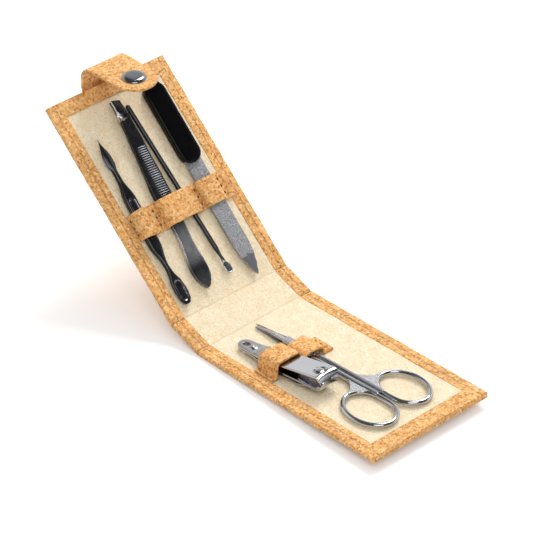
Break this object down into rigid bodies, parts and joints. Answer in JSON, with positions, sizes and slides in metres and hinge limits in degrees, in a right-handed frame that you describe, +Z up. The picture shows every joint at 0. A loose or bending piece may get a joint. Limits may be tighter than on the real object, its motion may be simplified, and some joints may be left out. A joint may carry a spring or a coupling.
{
  "type": "manicure set case",
  "caption": "Folding cork case, open and leaning back, holding scissors, nail clipper, tweezers, cuticle pusher, ear pick and nail file, with a snap strap.",
  "frame": {"origin": "on the table under the middle of the open case", "axes": "+X along the case towards the lower panel's free end, +Y across the case along its folds, +Z up"},
  "size_m": [0.2205, 0.07, 0.0988],
  "materials": {
    "cork": "cork fabric with flecks and pores, satin",
    "board": "plain grey board",
    "lining": "fine napped suede-like felt",
    "thread": "waxed sewing thread",
    "snap_metal": "dark nickel",
    "black_steel": "black satin coating",
    "file_grit": "diamond grit, sparkling",
    "handle_plastic": "black, glossy",
    "chrome_steel": "polished"
  },
  "bodies": {
    "lower_panel": {"lower_cover": "cork", "lower_board": "board", "lower_lining": "lining", "tool_loop": "cork", "loop_stitches": "thread", "snap_stud": "snap_metal", "stud_post": "snap_metal"},
    "spine": {"spine_cover": "cork", "spine_board": "board", "spine_lining": "lining"},
    "upper_panel": {"upper_cover": "cork", "upper_board": "board", "upper_lining": "lining", "holder_strap": "cork", "holder_stitches": "thread", "strap_anchor": "cork", "anchor_stitches": "thread"},
    "closing_strap": {"closing_strap": "cork", "snap_cap": "snap_metal", "snap_socket": "snap_metal"},
    "cuticle_pusher": {"cuticle_pusher": "black_steel"},
    "tweezers": {"tweezers_back_arm": "black_steel"},
    "tweezers_front_arm": {"tweezers_front_arm": "black_steel"},
    "ear_pick": {"ear_pick": "black_steel"},
    "nail_file": {"file_blade": "file_grit", "file_handle": "handle_plastic"},
    "clipper": {"clipper_jaw_arm": "chrome_steel", "clipper_lever": "chrome_steel", "clipper_pin": "chrome_steel", "clipper_rivet": "chrome_steel"},
    "clipper_base_arm": {"clipper_base_arm": "chrome_steel"},
    "scissors": {"scissors_near_half": "chrome_steel", "scissors_screw": "chrome_steel"},
    "scissors_far_half": {"scissors_far_half": "chrome_steel"}
  },
  "joints": [
    {"name": "fold_lower", "type": "hinge", "parent": "lower_panel", "child": "spine", "pos_m": [-0.00471, 0, 0.00282], "axis": [0, 1, 0], "range_deg": [-21.61, 68.29]},
    {"name": "fold_upper", "type": "hinge", "parent": "spine", "child": "upper_panel", "pos_m": [-0.02159, 0, 0.00883], "axis": [0, 1, 0], "range_deg": [-22, 67.9]},
    {"name": "strap_swing", "type": "hinge", "parent": "upper_panel", "child": "closing_strap", "pos_m": [-0.11013, -0.001, 0.08302], "axis": [0, -1, 0], "range_deg": [-41.5, 130]},
    {"name": "pusher_slide", "type": "slide", "parent": "upper_panel", "child": "cuticle_pusher", "axis": [0.7467, -0.0366, -0.6641], "range_m": [-0.05, 0]},
    {"name": "tweezers_slide", "type": "slide", "parent": "upper_panel", "child": "tweezers", "axis": [-0.7461, 0.0558, 0.6635], "range_m": [0, 0.0135]},
    {"name": "tweezers_squeeze", "type": "hinge", "parent": "tweezers", "child": "tweezers_front_arm", "pos_m": [-0.03678, -0.0078, 0.02401], "axis": [-0.0417, -0.9984, 0.0371], "range_deg": [0, 1], "stiffness_Nm_per_rad": 1.2},
    {"name": "ear_pick_slide", "type": "slide", "parent": "upper_panel", "child": "ear_pick", "axis": [-0.747, -0.0244, 0.6644], "range_m": [0, 0.0155]},
    {"name": "file_slide", "type": "slide", "parent": "upper_panel", "child": "nail_file", "axis": [0.7472, -0.0105, -0.6645], "range_m": [-0.055, 0]},
    {"name": "clipper_slide", "type": "slide", "parent": "lower_panel", "child": "clipper", "axis": [-0.9767, -0.0533, -0.2077], "range_m": [-0.025, 0]},
    {"name": "clipper_squeeze", "type": "hinge", "parent": "clipper", "child": "clipper_base_arm", "pos_m": [0.01482, -0.01831, 0.00642], "axis": [-0.054, 0.9985, -0.0019], "range_deg": [0, 1.6], "stiffness_Nm_per_rad": 7.5},
    {"name": "scissors_slide", "type": "slide", "parent": "lower_panel", "child": "scissors", "axis": [-0.9989, -0.0297, -0.036], "range_m": [-0.04, 0]},
    {"name": "scissors_open", "type": "hinge", "parent": "scissors", "child": "scissors_far_half", "pos_m": [0.03075, -0.00278, 0.0058], "axis": [-0.036, 0, 0.9994], "range_deg": [0, 9]}
  ]
}
